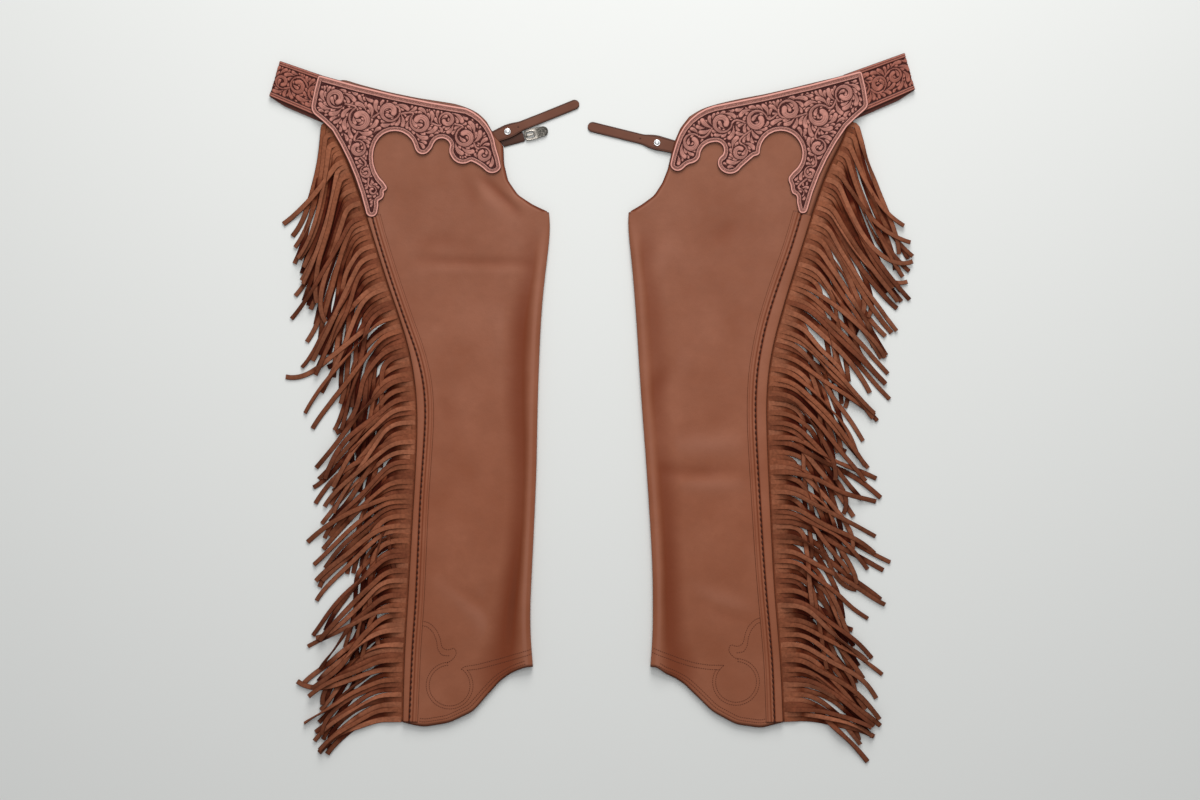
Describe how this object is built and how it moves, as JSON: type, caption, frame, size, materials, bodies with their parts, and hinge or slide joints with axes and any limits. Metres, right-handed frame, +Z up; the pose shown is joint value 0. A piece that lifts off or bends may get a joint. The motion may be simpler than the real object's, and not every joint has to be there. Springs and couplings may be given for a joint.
{
  "type": "leather chaps",
  "caption": "Pair of fringed Western show chaps laid flat: folded leather legs, scalloped tooled yokes, belt stubs folded back, front straps and a small silver buckle.",
  "frame": {"origin": "middle of the underside, on the surface that the chaps lie on", "axes": "+Z up, away from the surface; +Y from the hems to the belt; +X from the left leg to the right leg as seen from above with the belt at the top"},
  "size_m": [0.968, 1.0602, 0.0099],
  "materials": {
    "smooth_leather": "smooth reddish brown chap leather, semi-matte, fine grain, edges burnished dark",
    "tooled_leather": "rosy brown veg-tanned leather, carved scrolls on a dark stippled ground",
    "fringe_leather": "thin reddish brown fringe leather, matte cut edges",
    "strap_leather": "brown strap leather with darkened round edges",
    "bright_metal": "bright nickel dome",
    "aged_silver": "engraved silver, dark in the recesses"
  },
  "bodies": {
    "root": {"leg_left": "smooth_leather", "leg_right": "smooth_leather", "yoke_left": "tooled_leather", "yoke_right": "tooled_leather", "belt_left": "tooled_leather", "belt_right": "tooled_leather", "seam_strip_left": "smooth_leather", "seam_strip_right": "smooth_leather", "fringe_left": "fringe_leather", "fringe_right": "fringe_leather", "front_strap_left": "strap_leather", "front_strap_right": "strap_leather", "rivet_left": "bright_metal", "rivet_right": "bright_metal", "buckle_strap": "strap_leather", "buckle": "aged_silver", "buckle_tongue": "aged_silver"}
  },
  "joints": []
}
